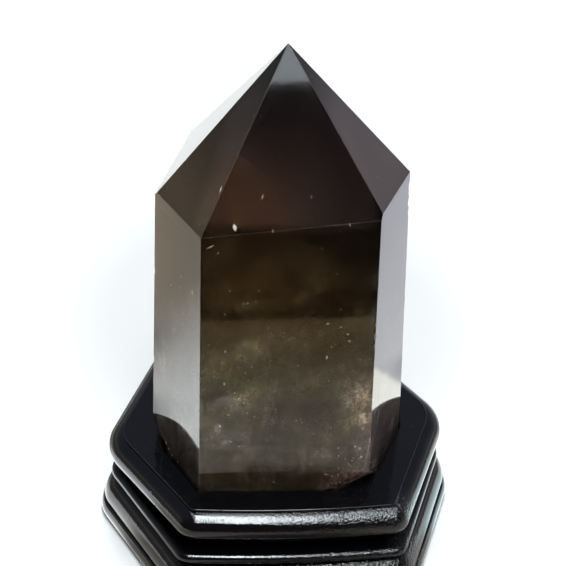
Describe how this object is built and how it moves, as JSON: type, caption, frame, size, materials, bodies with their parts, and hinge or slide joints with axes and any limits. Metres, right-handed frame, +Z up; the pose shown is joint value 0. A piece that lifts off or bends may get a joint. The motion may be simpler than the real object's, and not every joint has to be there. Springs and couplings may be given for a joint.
{
  "type": "quartz crystal point on a stand",
  "caption": "Polished smoky quartz point: a tapering six-sided prism with a six-sided tip, upright in the pocket of a black lacquered six-sided wooden stand, for display",
  "frame": {"origin": "middle of the stand's flat underside, on the surface that it stands on", "axes": "+Z up through the crystal's tip, +X along the stand's long front side, +Y from the front towards the back"},
  "size_m": [0.0848, 0.0768, 0.1223],
  "materials": {
    "smoky_quartz": "clear smoky brown, cut and polished",
    "black_lacquer": "glossy black lacquer over carved wood"
  },
  "bodies": {
    "root": {"quartz_point": "smoky_quartz", "lacquered_stand": "black_lacquer"}
  },
  "joints": []
}
